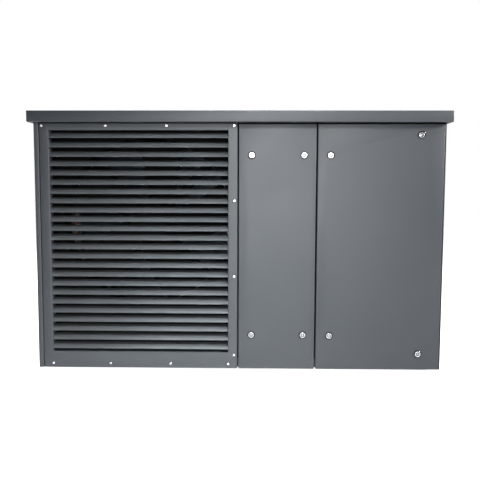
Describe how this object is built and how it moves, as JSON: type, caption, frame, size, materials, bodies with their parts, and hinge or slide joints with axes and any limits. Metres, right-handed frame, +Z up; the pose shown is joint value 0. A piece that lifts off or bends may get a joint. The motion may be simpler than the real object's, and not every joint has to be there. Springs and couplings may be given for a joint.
{
  "type": "air-to-water heat pump",
  "caption": "Outdoor air-to-water heat pump in a folded sheet casing with an overhanging roof, a louvred air outlet and two lockable service panels.",
  "frame": {"origin": "on the floor, under the middle of the roof", "axes": "+X across the front to the right, +Y from the front to the back, +Z up"},
  "size_m": [1.352, 0.56, 0.857],
  "materials": {
    "casing_paint": "satin powder coat, anthracite",
    "black_paint": "black satin paint",
    "zinc_steel": "zinc coated sheet",
    "stainless": "plain stainless",
    "chrome": "bright",
    "fan_plastic": "matt",
    "motor_aluminium": "die cast",
    "fins": "coated fins",
    "tray_plastic": "matt",
    "foam": "closed-cell foam",
    "rubber_black": "matt",
    "brass": "machined",
    "copper": "copper tube",
    "pump_iron": "coated casting",
    "board": "lacquered board",
    "terminal_plastic": "matt"
  },
  "bodies": {
    "casing": {"foot_pads": "rubber_black", "foot_rails": "zinc_steel", "base_pan": "casing_paint", "corner_posts": "black_paint", "top_frame": "black_paint", "front_mullion_left": "black_paint", "front_mullion_right": "black_paint", "rear_mullion": "black_paint", "side_panel_left": "casing_paint", "side_panel_right": "casing_paint", "rear_panel": "casing_paint", "roof_cap": "casing_paint", "roof_insulation": "foam", "grille_frame": "casing_paint", "louvre_blades": "casing_paint", "fan_plate": "black_paint", "fan_stator": "motor_aluminium", "fan_spider": "black_paint", "evaporator_coil": "fins", "coil_end_plates": "zinc_steel", "condensate_tray": "tray_plastic", "partition_wall": "zinc_steel", "intake_border": "casing_paint", "intake_guard": "casing_paint", "cable_glands": "tray_plastic", "water_connections": "brass", "compressor": "black_paint", "compressor_grommets": "rubber_black", "reversing_valve": "brass", "accumulator": "black_paint", "plate_exchanger": "stainless", "circuit_brackets": "zinc_steel", "circulation_pump": "pump_iron", "expansion_valve": "brass", "discharge_pipes": "copper", "suction_pipes": "copper", "liquid_line": "copper", "water_pipes": "stainless", "electrical_box": "zinc_steel", "inverter": "motor_aluminium", "control_board": "board", "terminal_rail": "terminal_plastic"},
    "fan": {"fan_impeller": "fan_plastic", "fan_rotor": "motor_aluminium"},
    "middle_panel": {"service_panel_middle": "casing_paint", "panel_seal_middle": "foam", "lock_housings_middle": "chrome"},
    "right_panel": {"service_panel_right": "casing_paint", "panel_seal_right": "foam", "lock_housings_right": "chrome"},
    "lock_middle_upper_left": {"lock_cam_middle_upper_left": "chrome"},
    "lock_middle_upper_right": {"lock_cam_middle_upper_right": "chrome"},
    "lock_middle_lower_left": {"lock_cam_middle_lower_left": "chrome"},
    "lock_middle_lower_right": {"lock_cam_middle_lower_right": "chrome"},
    "lock_right_upper_left": {"lock_cam_right_upper_left": "chrome"},
    "lock_right_upper_right": {"lock_cam_right_upper_right": "chrome"},
    "lock_right_lower_left": {"lock_cam_right_lower_left": "chrome"},
    "lock_right_lower_right": {"lock_cam_right_lower_right": "chrome"}
  },
  "joints": [
    {"name": "fan_spin", "type": "hinge", "parent": "casing", "child": "fan", "pos_m": [-0.308, -0.107, 0.497], "axis": [0, 1, 0], "continuous": true},
    {"name": "middle_panel_lift_off", "type": "slide", "parent": "casing", "child": "middle_panel", "axis": [0, -1, 0], "range_m": [0, 0.15]},
    {"name": "right_panel_lift_off", "type": "slide", "parent": "casing", "child": "right_panel", "axis": [0, -1, 0], "range_m": [0, 0.15]},
    {"name": "lock_middle_upper_left_turn", "type": "hinge", "parent": "middle_panel", "child": "lock_middle_upper_left", "pos_m": [0.0418, -0.2565, 0.718], "axis": [0, 1, 0], "range_deg": [0, 90]},
    {"name": "lock_middle_upper_right_turn", "type": "hinge", "parent": "middle_panel", "child": "lock_middle_upper_right", "pos_m": [0.21, -0.2565, 0.718], "axis": [0, 1, 0], "range_deg": [0, 90]},
    {"name": "lock_middle_lower_left_turn", "type": "hinge", "parent": "middle_panel", "child": "lock_middle_lower_left", "pos_m": [0.0418, -0.2565, 0.1336], "axis": [0, 1, 0], "range_deg": [0, 90]},
    {"name": "lock_middle_lower_right_turn", "type": "hinge", "parent": "middle_panel", "child": "lock_middle_lower_right", "pos_m": [0.21, -0.2565, 0.1336], "axis": [0, 1, 0], "range_deg": [0, 90]},
    {"name": "lock_right_upper_left_turn", "type": "hinge", "parent": "right_panel", "child": "lock_right_upper_left", "pos_m": [0.2945, -0.2565, 0.718], "axis": [0, 1, 0], "range_deg": [0, 90]},
    {"name": "lock_right_upper_right_turn", "type": "hinge", "parent": "right_panel", "child": "lock_right_upper_right", "pos_m": [0.582, -0.2565, 0.7833], "axis": [0, 1, 0], "range_deg": [0, 90]},
    {"name": "lock_right_lower_left_turn", "type": "hinge", "parent": "right_panel", "child": "lock_right_lower_left", "pos_m": [0.2965, -0.2565, 0.1316], "axis": [0, 1, 0], "range_deg": [0, 90]},
    {"name": "lock_right_lower_right_turn", "type": "hinge", "parent": "right_panel", "child": "lock_right_lower_right", "pos_m": [0.587, -0.2565, 0.0726], "axis": [0, 1, 0], "range_deg": [0, 90]}
  ]
}
